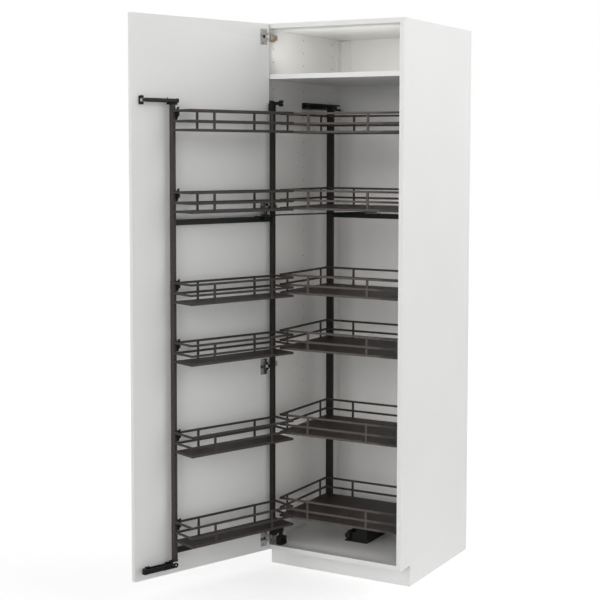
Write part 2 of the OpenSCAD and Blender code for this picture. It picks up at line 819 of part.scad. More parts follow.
module door_tray(i) {
    color(FRAME) on_door() translate([dtray_s0, dtray_d0, tray_zs[i]])
        tray_frame(dtray_len, dtray_dep, dtray_bar_in, 0);
}

module inner_tray(i) {
    color(FRAME) translate([itray_x0, itray_y0, tray_zs[i]])
        tray_frame(itray_w, itray_dep, itray_bar_in, itray_side_bar_in);
}

module door_tray_bases() {
    color(BASE) on_door() for (z = tray_zs)
        translate([dtray_s0, dtray_d0, z]) tray_base(dtray_len, dtray_dep);
}

module inner_tray_bases() {
    color(BASE) for (z = tray_zs)
        translate([itray_x0, itray_y0, z]) tray_base(itray_w, itray_dep);
}

// ---- Pivots of the door rack ----

// Wall plate with a stiffened arm that ends in a turned eye over the top lever's
module pivot_top_bracket() {
    z0 = rear_post_top + lever_h + gap;
    eye_h = 11;
    color(BLACK) difference() {
        union() {
            translate([pivot_w.x, pivot_w.y, z0]) bead(eye_r, eye_h);
            along_y(pivot_w.y - 6, pivot_w.y + 6) polygon([
                [-inner_x + 3, z0], [pivot_w.x, z0], [pivot_w.x, z0 + 6], [-inner_x + 20, z0 + 6],
                [-inner_x + 3, z0 + eye_h]]);
            along_x(-inner_x, -inner_x + 4)
                polygon(rounded([pivot_w.y - 18, z0 - 14], [pivot_w.y + 36, z0 + eye_h], 5));
        }
        rod([pivot_w.x, pivot_w.y, z0 - 1], pivot_pin_d, 9);
    }
}

// Block on the floor with bevelled corners and two slots, and a turned neck for the pin
module pivot_floor_block() {
    z1 = lever_eye_z - gap;
    block_z = floor_top_z + 30;
    color(BLACK) difference() {
        translate([pivot_w.x, pivot_w.y, 0]) {
            upright(floor_top_z, block_z)
                polygon([[-15, -10], [-9, -16], [5, -16], [13, -8], [13, 22], [-15, 22]]);
            rod([0, 0, block_z - 1], 22, 5);
            rod([0, 0, block_z - 1], 16, z1 - block_z + 1);
        }
        rod([pivot_w.x, pivot_w.y, z1 - 20], pivot_pin_d, 21);
        for (z = [7, 17]) box([pivot_w.x + 8, pivot_w.y - 17, floor_top_z + z],
            [pivot_w.x + 14, pivot_w.y + 12, floor_top_z + z + 6]);
    }
}

module pivot_pins() {
    color(STEEL) {
        rod([pivot_w.x, pivot_w.y, lever_eye_z - gap - 20], pivot_pin_d, 38);
        rod([pivot_w.x, pivot_w.y, rear_post_top + 1], pivot_pin_d, lever_h + gap + 7);
    }
}

// ---- Inner rack ----

module inner_left_post() {
    color(FRAME) tube([ipost_left_x, ipost_y, ipost_foot],
        [ipost_left_x + ipost_w, ipost_y + ipost_dep, ipost_top]);
}

module inner_right_post() {
    color(FRAME) tube([ipost_right_x, ipost_y, ipost_foot],
        [ipost_right_x + ipost_w, ipost_y + ipost_dep, ipost_top]);
}

module inner_cross_bars() {
    color(FRAME) for (z = [cross_lower_z - 12, cross_upper_z]) along_x(ipost_left_x + ipost_w, ipost_right_x)
        polygon(rounded([ipost_y, z], [ipost_y + ipost_dep, z + cross_h], tube_r));
}

// ---- Runners ----

// Rolled rail on the side panel, open towards the rack, with a strap to the back
module upper_runner() {
    y1 = up_run_y0 + up_run_len;
    lip = 6;
    color(BLACK) {
        along_y(up_run_y0, y1) difference() {
            polygon(rounded([-inner_x, up_run_z], [-inner_x + up_run_dep, up_run_z + up_run_h], 3));
            translate([-inner_x + 8, up_run_z + lip]) square([up_run_dep, up_run_h - 2 * lip]);
        }
        upright(up_run_z, up_run_z + 8) polygon([
            [-inner_x, y1], [-inner_x + 12, y1], [-inner_x + 4, y1 + 10], [-inner_x + 4, back_y0 - 4],
            [-inner_x, back_y0 - 4]]);
    }
}

// Slide in the upper runner, with an arm to the left post's front
module upper_carriage() {
    mid_z = up_run_z + up_run_h / 2;
    x0 = -inner_x + 9;
    x1 = -inner_x + up_run_dep + gap;
    color(BLACK) upright(mid_z - 5.5, mid_z + 5.5) polygon([
        [x0, up_run_y0 + 6], [x1, up_run_y0 + 6], [x1, ipost_y - 36], [x1 + 10, ipost_y - 26],
        [ipost_left_x + 22, ipost_y - 26], [ipost_left_x + 22, ipost_y], [x0, ipost_y]]);
}

// Trough on the floor, with a base plate that carries the damper too
module lower_runner() {
    y1 = low_run_y0 + low_run_len;
    x1 = low_run_x0 + low_run_w;
    color(BLACK) {
        upright(floor_top_z, floor_top_z + 3)
            polygon(rounded([low_run_x0 - 32, low_run_y0], [x1 + 1, y1], 6));
        along_y(low_run_y0, y1) difference() {
            polygon(rounded([low_run_x0, floor_top_z], [x1, floor_top_z + low_run_h], 2));
            translate([low_run_x0 + run_wall, floor_top_z + 5])
                square([low_run_w - 2 * run_wall, low_run_h]);
        }
    }
}

// Carriage of one profile: a slide in the trough, a head over its rims with a step beside the damper, and a tab
// on the front of the cross bar
module lower_carriage() {
    x0 = low_run_x0;
    x1 = low_run_x0 + low_run_w;
    inset = run_wall + gap;
    rim_z = floor_top_z + low_run_h + gap;
    bar_z = cross_lower_z - 12;
    color(BLACK) {
        along_y(low_run_y0 + 2, ipost_y + ipost_dep) polygon([
            [x0 + inset, floor_top_z + 5 + gap], [x1 - inset, floor_top_z + 5 + gap], [x1 - inset, rim_z],
            [x1, rim_z], [x1, bar_z - 3], [x1 - 3, bar_z], [x0 + 19, bar_z], [x0 + 17, bar_z - 2],
            [x0 + 17, bar_z - 15], [x0, bar_z - 15], [x0, rim_z], [x0 + inset, rim_z]]);
        along_y(ipost_y - 5, ipost_y)
            polygon(rounded([x0 + 20, bar_z - 2], [x1 - 8, bar_z + cross_h], 4));
    }
}

// Damper beside the lower runner: a turned body on a saddle, with a smaller cylinder over it
module runner_damper() {
    x = low_run_x0 - 16;
    z = floor_top_z + 22;
    color(BLACK) {
        translate([x, low_run_y0 - 4, z]) rotate([-90, 0, 0]) rotate_extrude() polygon(concat(
            [[0, 0]], arc([9.5, 3], 3, -90, 0), [[12.5, 10], [10, 13], [10, 92], [0, 92]]));
        translate([x + 5, low_run_y0 - 2, z + 14]) rotate([-90, 0, 0]) bead(8, 12);
        translate([x + 5, low_run_y0, z + 14]) rotate([-90, 0, 0]) cylinder(d = 11, h = 70);
        along_y(low_run_y0 + 10, low_run_y0 + 80)
            polygon([[x - 10, floor_top_z + 3], [x + 10, floor_top_z + 3], [x + 6, z - 5], [x - 6, z - 5]]);
    }
}

// ---- Pull link ----

// Slim bar with an eye at each end, from the door rack's lug to the inner rack's cross bar
module pull_link() {
    v = link_b - link_a;
    color(BLACK) translate([link_a.x, link_a.y, pull_z]) rotate([0, 0, atan2(v.y, v.x)]) difference() {
        union() {
            translate([0, -pull_w / 2, 0]) cube([norm(v), pull_w, pull_t]);
            rod([0, 0, 0], pull_eye_d, pull_t);
            rod([norm(v), 0, 0], pull_eye_d, pull_t);
            rod([0, 0, pull_t], 10, 2.5);
        }
        rod([norm(v), 0, -1], pull_pin_d + 2 * play, pull_t + 2);
    }
}

module pull_link_pin() {
    color(STEEL) {
        rod([link_b.x, link_b.y, pull_z - gap - lug_t], pull_pin_d, lug_t + 2 * gap + pull_t);
        rod([link_b.x, link_b.y, pull_z + pull_t + gap], 11, 2);
        translate([link_b.x, link_b.y, 0])
            box([-18, -link_y_in, cross_top_z], [18, 12, cross_top_z + lug_t]);
    }
}

left_panel();
right_panel();
top_panel();
floor_panel();
fixed_shelf();
back_panel();
plinth_front();
plinth_sides();
plinth_back();
plinth_bearer();
wall_brackets();
door_panel();
hinge_cups();
hinge_cup_pins();
hinge_links();
hinge_arms();
hinge_arm_pins();
door_top_guide();
door_top_bracket();
door_low_guide();
door_low_cap();
rack_front_post();
rack_rear_post();
rack_cross_bars();
rack_levers();
rack_top_shoe();
rack_low_roller();
rack_link_lug();
tray_hooks();
door_tray(0);  // door_tray_1
door_tray(1);  // door_tray_2
door_tray(2);  // door_tray_3
door_tray(3);  // door_tray_4
door_tray(4);  // door_tray_5
door_tray(5);  // door_tray_6
door_tray_bases();
pivot_top_bracket();
pivot_floor_block();
pivot_pins();
inner_left_post();
inner_right_post();
inner_cross_bars();
inner_tray(0);  // inner_tray_1
inner_tray(1);  // inner_tray_2
inner_tray(2);  // inner_tray_3
inner_tray(3);  // inner_tray_4
inner_tray(4);  // inner_tray_5
inner_tray(5);  // inner_tray_6
inner_tray_bases();
upper_runner();
upper_carriage();
lower_runner();
lower_carriage();
runner_damper();
pull_link();
pull_link_pin();
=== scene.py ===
"""Larder cabinet with turning and sliding racks: finishes, small fittings, stage and camera."""

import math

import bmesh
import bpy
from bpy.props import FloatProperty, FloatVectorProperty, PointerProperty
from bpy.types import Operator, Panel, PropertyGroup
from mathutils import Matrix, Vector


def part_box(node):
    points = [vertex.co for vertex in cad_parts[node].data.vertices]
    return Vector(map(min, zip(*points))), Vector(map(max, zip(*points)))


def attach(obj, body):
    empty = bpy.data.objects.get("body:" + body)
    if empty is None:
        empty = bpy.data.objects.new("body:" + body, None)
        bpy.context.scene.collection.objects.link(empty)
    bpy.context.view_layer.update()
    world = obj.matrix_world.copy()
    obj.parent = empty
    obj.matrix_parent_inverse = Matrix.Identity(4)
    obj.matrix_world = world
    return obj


bl_info = {
    "name": "Larder Cabinet",
    "version": (1, 0, 0),
    "blender": (4, 5, 0),
    "location": "View3D > Sidebar > Larder",
    "description": "Finishes and small fittings for a larder cabinet with turning and sliding racks",
    "category": "Object",
}

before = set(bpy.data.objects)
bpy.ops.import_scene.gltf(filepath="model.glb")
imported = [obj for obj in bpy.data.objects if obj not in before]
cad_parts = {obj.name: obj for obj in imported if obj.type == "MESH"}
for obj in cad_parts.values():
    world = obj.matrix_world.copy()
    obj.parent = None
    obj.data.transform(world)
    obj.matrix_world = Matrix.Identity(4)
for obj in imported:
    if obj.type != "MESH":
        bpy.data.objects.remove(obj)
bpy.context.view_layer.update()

MM = 0.001

# The open door's inner face: s runs along it from the hinged edge, d away from it
OPEN_ANGLE = math.radians(110.5)
DOOR_EDGE = Vector((-0.259, -0.3065, 0.0))
DOOR_FRAME = Matrix.Translation(DOOR_EDGE) @ Matrix.Rotation(-OPEN_ANGLE, 4, "Z")

# Hinges: a cup's screws stand along the door, off it, and above and below the hinge's middle
HINGE_HEIGHTS = [128 * MM, 791 * MM, 1393 * MM, 2030 * MM]
CUP_SCREW = Vector((28, 2.6, 23)) * MM
ARM_FACE = -260.3 * MM
SLOT_SCREW_Y = -266.5 * MM
CLAMP_SCREW_Y = -250 * MM
CLAMP_SCREW_DEPTH = 1.4 * MM

# Screw heads: share of the slot screw's radius, or radius, and height
SLOT_HEAD_HEIGHT = 1.6 * MM
CUP_HEAD_SHARE, CUP_HEAD_HEIGHT = 0.9, 1.2 * MM
CLAMP_HEAD_SHARE, CLAMP_HEAD_HEIGHT = 0.6, 1.2 * MM
PIVOT_HEAD_RADIUS, PIVOT_HEAD_HEIGHT = 3.6 * MM, 1.8 * MM
RUNNER_HEAD_RADIUS, RUNNER_HEAD_HEIGHT = 4.2 * MM, 2.0 * MM

# Form of a cross screw's head, as shares of its radius or height
DOME_DROP = 0.35
CROSS_WIDTH = 0.22
CROSS_REACH = 0.6
CROSS_SLOPE = 0.06
CROSS_DEPTH = 0.6
RIM_ROUNDING = 0.25

# Top pivot on the left panel, with the outline of its cap as radius and height
LEFT_WALL = -282 * MM
PIVOT = Vector((-225.954, -275.51, 1795.3)) * MM
PIVOT_PLATE = 4 * MM
PIVOT_SCREW_YS = [-288.5 * MM, -249.0 * MM]
PIVOT_SCREW_Z = 1783 * MM
PIVOT_CAP = [(0.0, 0.0), (5.5 * MM, 0.0), (5.5 * MM, 1.4 * MM), (4.8 * MM, 2.0 * MM),
             (2.4 * MM, 2.0 * MM), (2.2 * MM, 0.9 * MM), (0.0, 0.9 * MM)]

# Neck of the top guide's spool, in the open door's s, d and height
SPOOL = Vector((560, 7.4, 1780)) * MM
SLEEVE_INNER, SLEEVE_OUTER, SLEEVE_HALF, SLEEVE_LIP = 4.5 * MM, 6.2 * MM, 5.9 * MM, 1.2 * MM

# Head cap of the door rack's rear post, between two corners in the open door's s, d and height
HEAD_CAP = [Vector((-7.5, 8.0, 1752.0)) * MM, Vector((11.0, 33.2, 1783.8)) * MM]

# Plugs in the inner posts' ends: how far they stand out, how far in their shank is, and its depth
PLUG_FLANGE = Vector((0.3, 0.3, 0.0)) * MM
PLUG_INSET = Vector((2.0, 2.0, 0.0)) * MM
PLUG_DEPTH = 9 * MM

# Lower runner's foot
RUNNER_FOOT = 3 * MM
RUNNER_SCREW_X = -27 * MM
RUNNER_SCREW_YS = [y * MM for y in (-8, 90, 190, 270)]

# Covers of the wall brackets
COVER_WIDE, COVER_DEEP = 47 * MM, 40 * MM
COVER_FOOT, COVER_HEAD = 1905 * MM, 2059 * MM

# Meshes
SEAM = 0.002 * MM
EDGE_STEPS = 2
EDGE_ANGLE = math.radians(50)
SMOOTH_ANGLE = math.radians(40)
ROUND_STEPS = 32
CAP_STEPS = 24

# Studio: a sun's direction and spread in degrees, a lamp's place, width, height and spread
FRONT_LIGHT = {"towards": (0.12, 1.0, -0.1), "spread": 60.0}
SIDE_LIGHT = {"towards": (-1.0, -0.7, -0.3), "spread": 80.0}
UPPER_FILL = {"place": (0.0, -0.285, 1.98), "width": 0.5, "height": 0.05, "spread": 130.0}
LOWER_FILL = {"place": (0.0, -0.28, 0.96), "width": 0.4, "height": 1.64, "spread": 180.0}
FILL_COLOUR = (1.0, 0.97, 0.93)
FLOOR_WHITE = (0.86, 0.86, 0.86)
FLOOR_REACH = 40.0
VIEW_REACH = 100.0
SENSOR_WIDTH = 36.0

BOARDS = ["left_panel", "right_panel", "top_panel", "floor_panel", "fixed_shelf", "back_panel",
          "plinth_front", "plinth_sides", "plinth_back", "plinth_bearer", "door_panel"]
BORED_BOARDS = ["left_panel", "right_panel"]
TRAYS = [f"{rack}_tray_{i}" for rack in ("door", "inner") for i in range(1, 7)]
FRAMES = TRAYS + ["rack_front_post"]
# These posts take a darker coat than the frames. This is painted shade for the shadow they stand in inside
# the racks.
SHADED_POSTS = ["rack_rear_post", "inner_left_post", "inner_right_post"]
BASES = ["door_tray_bases", "inner_tray_bases"]
BLACK_METAL = ["door_top_guide", "door_low_guide", "upper_runner", "lower_runner", "rack_levers",
               "pull_link", "rack_link_lug", "door_top_bracket", "rack_cross_bars", "inner_cross_bars"]
BLACK_PLASTIC = ["door_low_cap", "rack_top_shoe", "rack_low_roller", "tray_hooks",
                 "pivot_top_bracket", "pivot_floor_block", "upper_carriage", "lower_carriage",
                 "runner_damper"]
NICKEL = ["hinge_cups", "hinge_links"]
ZINC = ["hinge_arm_pins", "pivot_pins", "hinge_cup_pins", "pull_link_pin"]


# ---- Settings ----

class LarderFinish(PropertyGroup):
    """Colours and textures of the cabinet and its racks"""
    white: FloatVectorProperty(
        name="White foil", description="Colour of the boards", subtype="COLOR", size=3,
        min=0.0, max=1.0, default=(0.90, 0.90, 0.89))
    frame_colour: FloatVectorProperty(
        name="Frame coat", description="Colour of the tray frames and the door rack's front post",
        subtype="COLOR", size=3, min=0.0, max=1.0, default=(0.048, 0.040, 0.037))
    # Painted shade: the frame coat made darker for the posts that stand in shadow inside the racks.
    shaded_post_colour: FloatVectorProperty(
        name="Painted shade coat", description="Colour of the inner rack's posts and the door rack's rear post",
        subtype="COLOR", size=3, min=0.0, max=1.0, default=(0.017, 0.016, 0.014))
    base_colour: FloatVectorProperty(
        name="Tray bases", description="Colour of the tray bases", subtype="COLOR", size=3,
        min=0.0, max=1.0, default=(0.024, 0.017, 0.015))
    black: FloatVectorProperty(
        name="Black coat", description="Colour of guides, runners, cross bars and moulded pieces",
        subtype="COLOR", size=3, min=0.0, max=1.0, default=(0.006, 0.006, 0.006))
    nickel: FloatVectorProperty(
        name="Nickel", description="Colour of the plated hinge cups and links", subtype="COLOR", size=3,
        min=0.0, max=1.0, default=(0.42, 0.42, 0.42))
    arm_nickel: FloatVectorProperty(
        name="Arm nickel", description="Colour of the warmer plating on the hinge arms", subtype="COLOR",
        size=3, min=0.0, max=1.0, default=(0.47, 0.37, 0.28))
    core: FloatVectorProperty(
        name="Board core", description="Colour of the particle board inside the bored holes",
        subtype="COLOR", size=3, min=0.0, max=1.0, default=(0.36, 0.27, 0.18))
    peel_size: FloatProperty(
        name="Foil texture", description="Size of the fine grain in the white foil", subtype="DISTANCE",
        min=0.0002, max=0.01, default=0.0012)
    coat_size: FloatProperty(
        name="Coat texture", description="Size of the grain in the powder coat", subtype="DISTANCE",
        min=0.0002, max=0.01, default=0.0009)


class LarderSizes(PropertyGroup):
    """Sizes of the rounded edges and the small fittings"""
    board_edge: FloatProperty(
        name="Board edge", description="Radius of the boards' edges", subtype="DISTANCE",
        min=0.0002, max=0.003, default=0.0008)
    metal_edge: FloatProperty(
        name="Metal edge", description="Radius of the frames' edges", subtype="DISTANCE",
        min=0.0002, max=0.002, default=0.0007)
    screw_radius: FloatProperty(
        name="Screw head", description="Radius of the hinges' screw heads", subtype="DISTANCE",
        min=0.002, max=0.006, default=0.0038)
    cap_wall: FloatProperty(
        name="Cap wall", description="Wall of the moulded caps on the posts", subtype="DISTANCE",
        min=0.0005, max=0.003, default=0.0012)
    cover_wall: FloatProperty(
        name="Cover wall", description="Thickness of the covers over the wall brackets", subtype="DISTANCE",
        min=0.003, max=0.008, default=0.005)


class LarderStage(PropertyGroup):
    """Camera and light of the studio"""
    camera_place: FloatVectorProperty(
        name="Camera place", description="Where the camera stands", subtype="TRANSLATION", size=3,
        default=(2.338383, -4.454783, 1.605434))
    camera_turn: FloatVectorProperty(
        name="Camera turn", description="Heading, pitch and roll of the camera", subtype="EULER", size=3,
        default=(0.49016, -0.068247, 0.004659))
    lens: FloatProperty(
        name="Lens", description="Focal length on a 36 mm wide sensor, in mm", min=20.0, max=200.0,
        default=77.804)
    shift_x: FloatProperty(name="Shift across", description="Sideways lens shift", default=-0.0982)
    shift_y: FloatProperty(name="Shift up", description="Upward lens shift", default=-0.100)
    front_level: FloatProperty(
        name="Front light", description="Strength of the wide soft light from the front", min=0.0, max=5.0,
        default=1.76)
    side_level: FloatProperty(
        name="Side light", description="Strength of the wide soft light from the right and behind", min=0.0,
        max=5.0, default=1.88)
    shelf_level: FloatProperty(
        name="Upper fill", description="Power of the small soft lamp inside the upper compartment, in watts",
        min=0.0, max=5.0, default=0.33)
    rack_level: FloatProperty(
        name="Lower fill", description="Power of the tall soft lamp inside the rack space, in watts",
        min=0.0, max=5.0, default=1.62)
    world_level: FloatProperty(
        name="Room light", description="Brightness of the even light all round", min=0.0, max=2.0,
        default=0.35)
    floor_lift: FloatProperty(
        name="Floor lift", description="Light that the camera sees in the floor besides what falls on it",
        min=0.0, max=1.0, default=0.55)


# ---- Materials ----

def new_material(name, colour, roughness, metallic=0.0, gloss=0.5):
    """A principled material, with its node tree, its shader and the position on the object."""
    material = bpy.data.materials.new(name)
    material.use_nodes = True
    tree = material.node_tree
    shader = tree.nodes["Principled BSDF"]
    shader.inputs["Base Color"].default_value = (*colour, 1.0)
    shader.inputs["Roughness"].default_value = roughness
    shader.inputs["Metallic"].default_value = metallic
    shader.inputs["Specular IOR Level"].default_value = gloss
    place = tree.nodes.new("ShaderNodeTexCoord").outputs["Object"]
    return material, tree, shader, place


def noise(tree, place, size, detail=2.0, stretch=(1.0, 1.0, 1.0)):
    """Noise whose lumps measure about size metres."""
    mapping = tree.nodes.new("ShaderNodeMapping")
    mapping.inputs["Scale"].default_value = stretch
    texture = tree.nodes.new("ShaderNodeTexNoise")
    texture.inputs["Scale"].default_value = 1.0 / size
    texture.inputs["Detail"].default_value = detail
    tree.links.new(place, mapping.inputs["Vector"])
    tree.links.new(mapping.outputs["Vector"], texture.inputs["Vector"])
    return texture.outputs["Fac"]


def vary(tree, value, low, high, socket):
    """Leads a 0 to 1 pattern into a socket as a value from low to high."""
    span = tree.nodes.new("ShaderNodeMapRange")
    span.inputs["To Min"].default_value = low
    span.inputs["To Max"].default_value = high
    tree.links.new(value, span.inputs["Value"])
    tree.links.new(span.outputs["Result"], socket)


def scaled(colour, factor):
    """The colour made lighter or darker."""
    return tuple(min(1.0, c * factor) for c in colour)


def tint(tree, value, colour, darkest, lightest, shader):
    """Colours the shader by a 0 to 1 pattern, between two shares of one colour."""
    ramp = tree.nodes.new("ShaderNodeValToRGB")
    dark, light = ramp.color_ramp.elements
    dark.color, dark.position = (*scaled(colour, darkest), 1.0), 0.3
    light.color, light.position = (*scaled(colour, lightest), 1.0), 0.7
    tree.links.new(value, ramp.inputs["Fac"])
    tree.links.new(ramp.outputs["Color"], shader.inputs["Base Color"])


def emboss(tree, value, depth, shader):
    """Raises the surface by a pattern, depth metres from low to high."""
    bump = tree.nodes.new("ShaderNodeBump")
    bump.inputs["Distance"].default_value = depth
    bump.inputs["Strength"].default_value = 1.0
    tree.links.new(value, bump.inputs["Height"])
    tree.links.new(bump.outputs["Normal"], shader.inputs["Normal"])


def between(tree, value, low, high):
    """1 where the value lies between low and high, else 0."""
    test = tree.nodes.new("ShaderNodeMath")
    test.operation = "COMPARE"
    test.inputs[1].default_value = (low + high) / 2
    test.inputs[2].default_value = (high - low) / 2
    tree.links.new(value, test.inputs[0])
    return test.outputs["Value"]


def inside_box(tree, place, low, high):
    """1 where the place lies inside a box, else 0."""
    axes = tree.nodes.new("ShaderNodeSeparateXYZ")
    tree.links.new(place, axes.inputs["Vector"])
    inside = None
    for axis, name in enumerate("XYZ"):
        value = between(tree, axes.outputs[name], low[axis], high[axis])
        if inside:
            both = tree.nodes.new("ShaderNodeMath")
            both.operation = "MULTIPLY"
            tree.links.new(inside, both.inputs[0])
            tree.links.new(value, both.inputs[1])
            value = both.outputs["Value"]
        inside = value
    return inside


def white_foil(finish, name="white_foil"):
    """White foil with a faint pearl grain."""
    material, tree, shader, place = new_material(name, finish.white, roughness=0.42)
    tint(tree, noise(tree, place, size=0.35), finish.white, darkest=0.985, lightest=1.01, shader=shader)
    vary(tree, noise(tree, place, size=0.05), low=0.36, high=0.48, socket=shader.inputs["Roughness"])
    emboss(tree, noise(tree, place, finish.peel_size, detail=3.0), depth=0.02 * MM, shader=shader)
    return material


def bored_foil(finish, node):
    """White foil on a side panel, with the board's bare core wherever a cut goes under the skin."""
    skin = Vector((0.4, 2.0, 2.0)) * MM
    low, high = (Vector(corner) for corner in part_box(node))
    material = white_foil(finish, node + "_foil")
    tree = material.node_tree
    shader = tree.nodes["Principled BSDF"]
    foil = shader.inputs["Base Color"].links[0].from_socket
    place = tree.nodes["Texture Coordinate"].outputs["Object"]
    chips = tree.nodes.new("ShaderNodeValToRGB")
    chips.color_ramp.elements[0].color = (*scaled(finish.core, 0.6), 1.0)
    chips.color_ramp.elements[1].color = (*scaled(finish.core, 1.3), 1.0)
    tree.links.new(noise(tree, place, size=1.5 * MM, detail=3.0), chips.inputs["Fac"])
    mix = tree.nodes.new("ShaderNodeMixRGB")
    tree.links.new(inside_box(tree, place, low + skin, high - skin), mix.inputs["Fac"])
    tree.links.new(foil, mix.inputs["Color1"])
    tree.links.new(chips.outputs["Color"], mix.inputs["Color2"])
    tree.links.new(mix.outputs["Color"], shader.inputs["Base Color"])
    return material


def powder_coat(name, colour, finish, roughness=0.42):
    """Powder coat on steel: fine grain, soft sheen."""
    material, tree, shader, place = new_material(name, colour, roughness, gloss=0.25)
    tint(tree, noise(tree, place, size=12 * MM), colour, darkest=0.88, lightest=1.12, shader=shader)
    vary(tree, noise(tree, place, size=6 * MM), low=roughness - 0.06, high=roughness + 0.08,
         socket=shader.inputs["Roughness"])
    emboss(tree, noise(tree, place, finish.coat_size, detail=3.0), depth=0.04 * MM, shader=shader)
    return material


def white_coat(finish):
    """White lacquer on the wall brackets and their covers, a little darker than the foil."""
    colour = scaled(finish.white, 0.93)
    material, tree, shader, place = new_material("white_coat", colour, roughness=0.4)
    tint(tree, noise(tree, place, size=20 * MM), colour, darkest=0.98, lightest=1.01, shader=shader)
    vary(tree, noise(tree, place, size=6 * MM), low=0.36, high=0.48, socket=shader.inputs["Roughness"])
    emboss(tree, noise(tree, place, finish.coat_size, detail=3.0), depth=0.03 * MM, shader=shader)
    return material


def base_foil(finish):
    """Dark brown foil on the tray bases, with a quiet drawn grain."""
    material, tree, shader, place = new_material("base_foil", finish.base_colour, roughness=0.5, gloss=0.3)
    grain = noise(tree, place, size=4 * MM, detail=4.0, stretch=(0.06, 1.0, 1.0))
    tint(tree, grain, finish.base_colour, darkest=0.8, lightest=1.2, shader=shader)
    vary(tree, grain, low=0.42, high=0.58, socket=shader.inputs["Roughness"])
    emboss(tree, grain, depth=0.04 * MM, shader=shader)
    return material


def moulded_plastic(finish):
    """Black moulded plastic with a spark-eroded grain."""
    material, tree, shader, place = new_material("moulded_plastic", finish.black, roughness=0.5, gloss=0.2)
    vary(tree, noise(tree, place, size=3 * MM), low=0.42, high=0.6, socket=shader.inputs["Roughness"])
    emboss(tree, noise(tree, place, size=0.7 * MM), depth=0.03 * MM, shader=shader)
    return material


def plated(name, colour, roughness):
    """Plated steel with faint drawing lines."""
    material, tree, shader, place = new_material(name, colour, roughness, metallic=1.0)
    lines = noise(tree, place, size=0.6 * MM, stretch=(1.0, 1.0, 0.05))
    vary(tree, lines, low=roughness - 0.06, high=roughness + 0.1, socket=shader.inputs["Roughness"])
    tint(tree, noise(tree, place, size=8 * MM), colour, darkest=0.94, lightest=1.04, shader=shader)
    return material


def give(node, material, edge=0.0):
    """Gives a carried-over node its finish and, where edge is set, rounds its edges."""
    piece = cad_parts[node]
    piece.data.materials.clear()
    piece.data.materials.append(material)
    if edge > 0.0:
        weld = piece.modifiers.new("Weld", "WELD")
        weld.merge_threshold = SEAM
        bevel = piece.modifiers.new("Edges", "BEVEL")
        bevel.width = edge
        bevel.segments = EDGE_STEPS
        bevel.limit_method = "ANGLE"
        bevel.angle_limit = EDGE_ANGLE
        bevel.harden_normals = True


class LARDER_OT_finishes(Operator):
    """Gives every carried-over node its finish and rounded edges"""
    bl_idname = "larder.finishes"
    bl_label = "Finish the boards, frames and fittings"

    def execute(self, context):
        finish = context.scene.larder_finish
        sizes = context.scene.larder_sizes
        foil = white_foil(finish)
        for node in BOARDS:
            edge = 0.0 if node == "back_panel" else sizes.board_edge
            give(node, bored_foil(finish, node) if node in BORED_BOARDS else foil, edge)
        zinc = plated("zinc_plate", scaled(finish.nickel, 0.9), roughness=0.34)
        for nodes, material, edge in (
                (FRAMES, powder_coat("frame_coat", finish.frame_colour, finish), sizes.metal_edge),
                # Painted shade: a darker frame coat on the posts that stand in shadow inside the racks.
                (SHADED_POSTS, powder_coat("frame_coat_painted_shade", finish.shaded_post_colour, finish), sizes.metal_edge),
                (BLACK_METAL, powder_coat("black_coat", finish.black, finish, 0.38), sizes.metal_edge),
                (BASES, base_foil(finish), sizes.metal_edge),
                (BLACK_PLASTIC, moulded_plastic(finish), sizes.metal_edge),
                (NICKEL, plated("nickel_plate", finish.nickel, roughness=0.22), 0.0),
                (["hinge_arms"], plated("warm_nickel", finish.arm_nickel, roughness=0.3), 0.0),
                (ZINC, zinc, 0.0),
                (["wall_brackets"], white_coat(finish), 0.0)):
            for node in nodes:
                give(node, material, edge)
        return {"FINISHED"}


# ---- Small fittings ----

def cross_screw(bm, radius, height):
    """A low domed screw head with a cross recess, standing at the origin."""
    top = bmesh.ops.create_grid(bm, x_segments=5, y_segments=5, size=radius)["verts"]
    for vert in top:
        if vert.is_boundary:
            vert.co = vert.co.normalized() * radius
        vert.co.z = height * (1.0 - DOME_DROP * vert.co.length_squared / radius ** 2)
    middles = {face: face.calc_center_median() for face in bm.faces}
    cross = [face for face, middle in middles.items()
             if min(abs(middle.x), abs(middle.y)) < CROSS_WIDTH * radius
             and middle.xy.length < CROSS_REACH * radius]
    rim = [edge for edge in bm.edges if edge.is_boundary]
    skirt = bmesh.ops.extrude_edge_only(bm, edges=rim)["geom"]
    for vert in skirt:
        if isinstance(vert, bmesh.types.BMVert):
            vert.co.z = 0.0
    bmesh.ops.contextual_create(bm, geom=[edge for edge in bm.edges if edge.is_boundary])
    bmesh.ops.inset_region(bm, faces=cross, thickness=CROSS_SLOPE * radius, depth=-CROSS_DEPTH * height)
    bmesh.ops.bevel(bm, geom=rim, offset=RIM_ROUNDING * height, segments=2, profile=0.5, affect="EDGES",
                    material=-1)


def block(bm, low, high, rounding):
    """Adds a block with rounded edges between two corners."""
    verts = bmesh.ops.create_cube(bm, size=1.0)["verts"]
    bmesh.ops.scale(bm, vec=high - low, verts=verts)
    bmesh.ops.translate(bm, vec=(low + high) / 2, verts=verts)
    edges = list({edge for vert in verts for edge in vert.link_edges})
    bmesh.ops.bevel(bm, geom=edges, offset=rounding, segments=2, profile=0.5, affect="EDGES", material=-1)


def turned(bm, outline, steps=ROUND_STEPS):
    """Turns an outline of radius and height about Z; one that stands off the axis makes a ring."""
    verts = [bm.verts.new((radius, 0.0, height)) for radius, height in outline]
    edges = [bm.edges.new((verts[i - 1], verts[i])) for i in range(1, len(verts))]
    if outline[0][0] > 0.0:
        edges.append(bm.edges.new((verts[-1], verts[0])))
    bmesh.ops.spin(bm, geom=verts + edges, cent=(0, 0, 0), axis=(0, 0, 1), angle=2 * math.pi, steps=steps,
                   use_merge=True)


